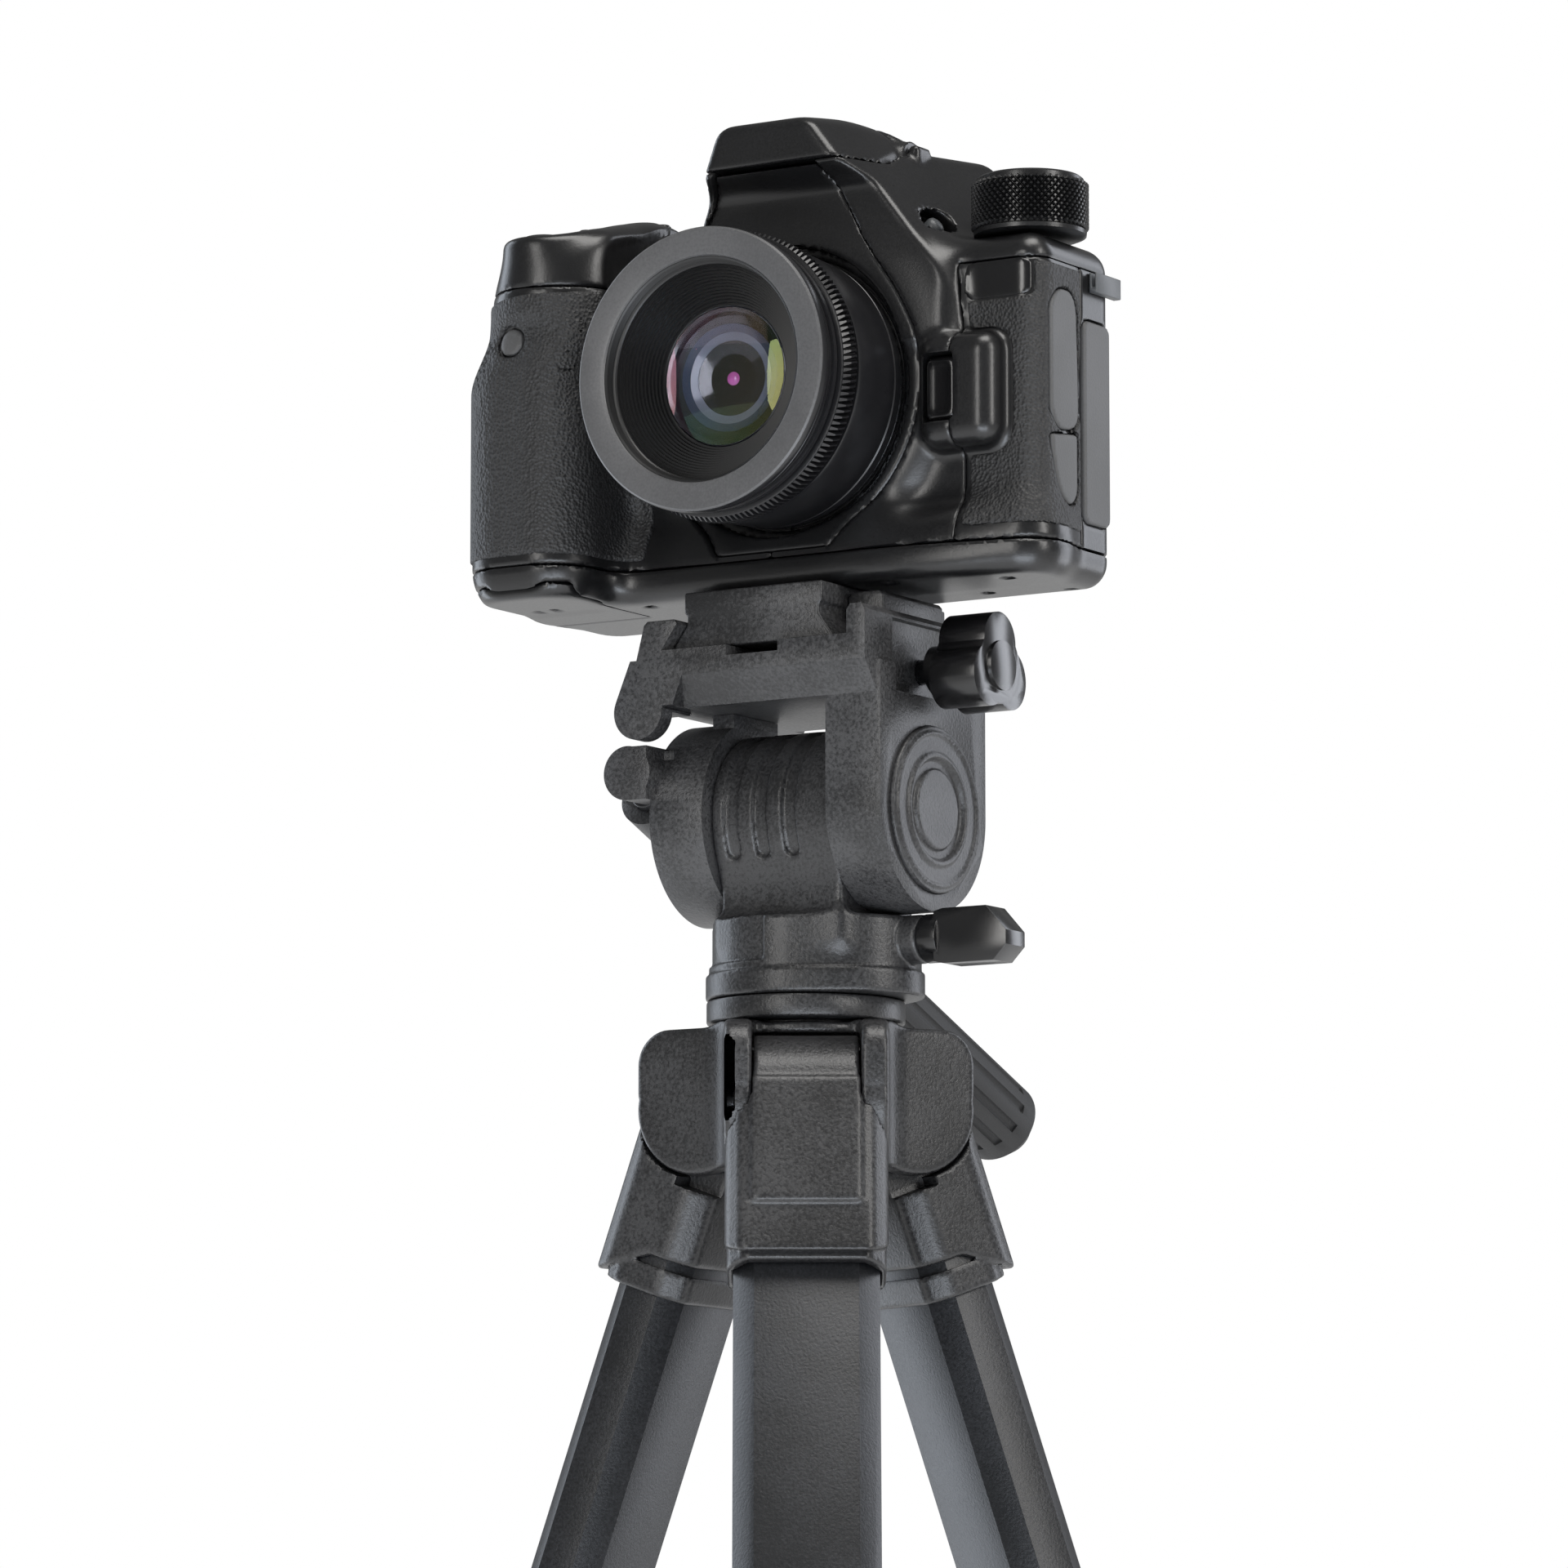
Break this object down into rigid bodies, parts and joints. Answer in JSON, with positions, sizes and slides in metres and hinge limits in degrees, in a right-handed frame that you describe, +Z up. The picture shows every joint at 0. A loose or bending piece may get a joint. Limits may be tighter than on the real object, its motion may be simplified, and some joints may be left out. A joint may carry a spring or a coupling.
{
  "type": "camera on tripod",
  "caption": "Single-lens reflex camera with a normal lens, held by a quick-release pan and tilt head on a folding tripod with sliding leg sections.",
  "frame": {"origin": "on the floor, under the middle of the three feet's plan box", "axes": "+Z up, the lens looks along -Y, the grip side is -X"},
  "size_m": [0.3727, 0.4158, 0.806],
  "materials": {
    "cast_metal": "cast, satin",
    "leg_tube": "anodised, satin",
    "lower_tube": "anodised, satin",
    "lever_plastic": "moulded, satin",
    "foot_rubber": "matt",
    "steel": "turned",
    "head_metal": "speckled powder coat",
    "knob_plastic": "gloss",
    "grip_rubber": "matt, ribbed",
    "body_plastic": "fine texture, satin",
    "fascia_plastic": "satin",
    "cover_rubber": "pebbled",
    "button_plastic": "satin gloss",
    "mirror_glass": "polished",
    "lens_glass": "coated",
    "screen_glass": "gloss",
    "battery_case": "matt",
    "lens_metal": "satin black"
  },
  "bodies": {
    "stand": {"hub": "cast_metal", "hub_pins": "steel", "base_ring": "head_metal"},
    "leg_1": {"leg_casting_1": "cast_metal", "leg_tube_1": "leg_tube"},
    "lever_1": {"lock_lever_1": "lever_plastic"},
    "leg_lower_1": {"lower_tube_1": "lower_tube", "foot_1": "foot_rubber"},
    "leg_2": {"leg_casting_2": "cast_metal", "leg_tube_2": "leg_tube"},
    "lever_2": {"lock_lever_2": "lever_plastic"},
    "leg_lower_2": {"lower_tube_2": "lower_tube", "foot_2": "foot_rubber"},
    "leg_3": {"leg_casting_3": "cast_metal", "leg_tube_3": "leg_tube"},
    "lever_3": {"lock_lever_3": "lever_plastic"},
    "leg_lower_3": {"lower_tube_3": "lower_tube", "foot_3": "foot_rubber"},
    "pan": {"pan_housing": "head_metal"},
    "pan_lock": {"pan_lock_wing": "knob_plastic"},
    "tilt": {"tilt_bracket": "head_metal", "clamp_cheek": "head_metal", "tilt_cap": "head_metal", "tilt_shaft": "steel"},
    "knob": {"clamp_knob": "knob_plastic"},
    "jaw": {"clamp_jaw": "knob_plastic"},
    "handle": {"handle_rod": "steel", "handle_grip": "grip_rubber"},
    "camera": {"quick_plate": "head_metal", "front_fascia": "fascia_plastic", "front_shell": "body_plastic", "rear_shell": "body_plastic", "top_cover": "body_plastic", "bottom_cover": "body_plastic", "grip_rubber": "cover_rubber", "battery": "battery_case", "hot_shoe": "steel", "eyecup": "cover_rubber", "screen": "screen_glass", "mirror_box": "steel", "pentaprism": "lens_glass", "strap_lugs": "steel", "lens_barrel": "lens_metal", "lens_front_ring": "lens_metal", "lens_glass": "lens_glass"},
    "screw": {"camera_screw": "steel"},
    "focus": {"focus_ring": "lens_metal"},
    "dial": {"mode_dial": "body_plastic"},
    "wheel": {"rear_dial": "button_plastic"},
    "shutter": {"shutter_button": "button_plastic"},
    "key_a": {"top_button_a": "button_plastic"},
    "key_b": {"top_button_b": "button_plastic"},
    "flash_key": {"flash_button": "steel"},
    "release": {"release_button": "button_plastic"},
    "flash": {"flash_unit": "body_plastic"},
    "leaf_upper": {"port_cover_upper": "cover_rubber"},
    "leaf_lower": {"port_cover_lower": "cover_rubber"},
    "card_door": {"port_door": "cover_rubber"},
    "battery_hatch": {"battery_door": "body_plastic"},
    "reflex": {"mirror": "mirror_glass"}
  },
  "joints": [
    {"name": "leg_1_fold", "type": "hinge", "parent": "stand", "child": "leg_1", "pos_m": [0.06346, -0.02089, 0.56382], "axis": [0.848, 0.5299, 0], "range_deg": [0, 20]},
    {"name": "lever_1_flip", "type": "hinge", "parent": "leg_1", "child": "lever_1", "pos_m": [0.13242, -0.13124, 0.24723], "axis": [0.848, 0.5299, 0], "range_deg": [0, 110]},
    {"name": "leg_1_slide", "type": "slide", "parent": "leg_1", "child": "leg_lower_1", "axis": [-0.1812, 0.29, 0.9397], "range_m": [0, 0.205]},
    {"name": "leg_2_fold", "type": "hinge", "parent": "stand", "child": "leg_2", "pos_m": [0.06225, 0.01373, 0.56382], "axis": [-0.8829, 0.4695, 0], "range_deg": [0, 20]},
    {"name": "lever_2_flip", "type": "hinge", "parent": "leg_2", "child": "lever_2", "pos_m": [0.12334, 0.12862, 0.24723], "axis": [-0.8829, 0.4695, 0], "range_deg": [0, 110]},
    {"name": "leg_2_slide", "type": "slide", "parent": "leg_2", "child": "leg_lower_2", "axis": [-0.1606, -0.302, 0.9397], "range_m": [0, 0.205]},
    {"name": "leg_3_fold", "type": "hinge", "parent": "stand", "child": "leg_3", "pos_m": [0.03288, -0.00463, 0.56382], "axis": [0.0349, -0.9994, 0], "range_deg": [0, 20]},
    {"name": "lever_3_flip", "type": "hinge", "parent": "leg_3", "child": "lever_3", "pos_m": [-0.09717, -0.00917, 0.24723], "axis": [0.0349, -0.9994, 0], "range_deg": [0, 110]},
    {"name": "leg_3_slide", "type": "slide", "parent": "leg_3", "child": "leg_lower_3", "axis": [0.3418, 0.0119, 0.9397], "range_m": [0, 0.205]},
    {"name": "pan_turn", "type": "hinge", "parent": "stand", "child": "pan", "pos_m": [0.05287, -0.00393, 0.58982], "axis": [0, 0, 1], "continuous": true},
    {"name": "pan_lock_turn", "type": "hinge", "parent": "pan", "child": "pan_lock", "pos_m": [0.08686, -0.00393, 0.60332], "axis": [1, 0, 0], "range_deg": [0, 180]},
    {"name": "tilt_turn", "type": "hinge", "parent": "pan", "child": "tilt", "pos_m": [0.05287, -0.00393, 0.63432], "axis": [1, 0, 0], "range_deg": [-30, 75]},
    {"name": "knob_turn", "type": "hinge", "parent": "tilt", "child": "knob", "pos_m": [0.09487, -0.00393, 0.66782], "axis": [1, 0, 0], "range_deg": [0, 540]},
    {"name": "jaw_slide", "type": "slide", "parent": "tilt", "child": "jaw", "axis": [1, 0, 0], "range_m": [0, 0.003]},
    {"name": "handle_twist", "type": "hinge", "parent": "tilt", "child": "handle", "pos_m": [0.01587, -0.01593, 0.64182], "axis": [0, 0.9272, -0.3746], "range_deg": [0, 360]},
    {"name": "plate_slide", "type": "slide", "parent": "tilt", "child": "camera", "axis": [0, 1, 0], "range_m": [-0.02, 0.02]},
    {"name": "screw_turn", "type": "hinge", "parent": "camera", "child": "screw", "pos_m": [0.05387, 0.00207, 0.67582], "axis": [0, 0, 1], "continuous": true},
    {"name": "focus_turn", "type": "hinge", "parent": "camera", "child": "focus", "pos_m": [0.05387, -0.03993, 0.73732], "axis": [0, -1, 0], "range_deg": [-60, 60]},
    {"name": "dial_turn", "type": "hinge", "parent": "camera", "child": "dial", "pos_m": [0.11286, 0.00207, 0.77802], "axis": [0, 0, 1], "continuous": true},
    {"name": "wheel_turn", "type": "hinge", "parent": "camera", "child": "wheel", "pos_m": [-0.00214, 0.02307, 0.72202], "axis": [0, 1, 0], "continuous": true},
    {"name": "shutter_press", "type": "slide", "parent": "camera", "child": "shutter", "axis": [0, 0, -1], "range_m": [0, 0.001], "stiffness_N_per_m": 600},
    {"name": "key_a_press", "type": "slide", "parent": "camera", "child": "key_a", "axis": [0, 0, -1], "range_m": [0, 0.0015], "stiffness_N_per_m": 400},
    {"name": "key_b_press", "type": "slide", "parent": "camera", "child": "key_b", "axis": [0, 0, -1], "range_m": [0, 0.0015], "stiffness_N_per_m": 400},
    {"name": "flash_key_press", "type": "slide", "parent": "camera", "child": "flash_key", "axis": [-0.8192, 0, -0.5736], "range_m": [0, 0.0012], "stiffness_N_per_m": 500},
    {"name": "release_press", "type": "slide", "parent": "camera", "child": "release", "axis": [0, 1, 0], "range_m": [0, 0.002], "stiffness_N_per_m": 600},
    {"name": "flash_lift", "type": "hinge", "parent": "camera", "child": "flash", "pos_m": [0.05387, 0.00407, 0.79552], "axis": [-1, 0, 0], "range_deg": [0, 60]},
    {"name": "leaf_upper_open", "type": "hinge", "parent": "camera", "child": "leaf_upper", "pos_m": [0.12487, -0.00893, 0.74002], "axis": [0, 0, -1], "range_deg": [0, 100]},
    {"name": "leaf_lower_open", "type": "hinge", "parent": "camera", "child": "leaf_lower", "pos_m": [0.12487, -0.00893, 0.71402], "axis": [0, 0, -1], "range_deg": [0, 100]},
    {"name": "card_door_open", "type": "hinge", "parent": "camera", "child": "card_door", "pos_m": [0.12487, 0.01957, 0.72702], "axis": [0, 0, 1], "range_deg": [0, 100]},
    {"name": "battery_hatch_open", "type": "hinge", "parent": "camera", "child": "battery_hatch", "pos_m": [0.00686, -0.02193, 0.68802], "axis": [0, -1, 0], "range_deg": [0, 85]},
    {"name": "reflex_flip", "type": "hinge", "parent": "camera", "child": "reflex", "pos_m": [0.05387, 0.01307, 0.74932], "axis": [-1, 0, 0], "range_deg": [0, 45]}
  ],
  "couplings": [
    {"joint": "jaw_slide", "follows": "knob_turn", "m_per_rad": 0.00031831}
  ]
}
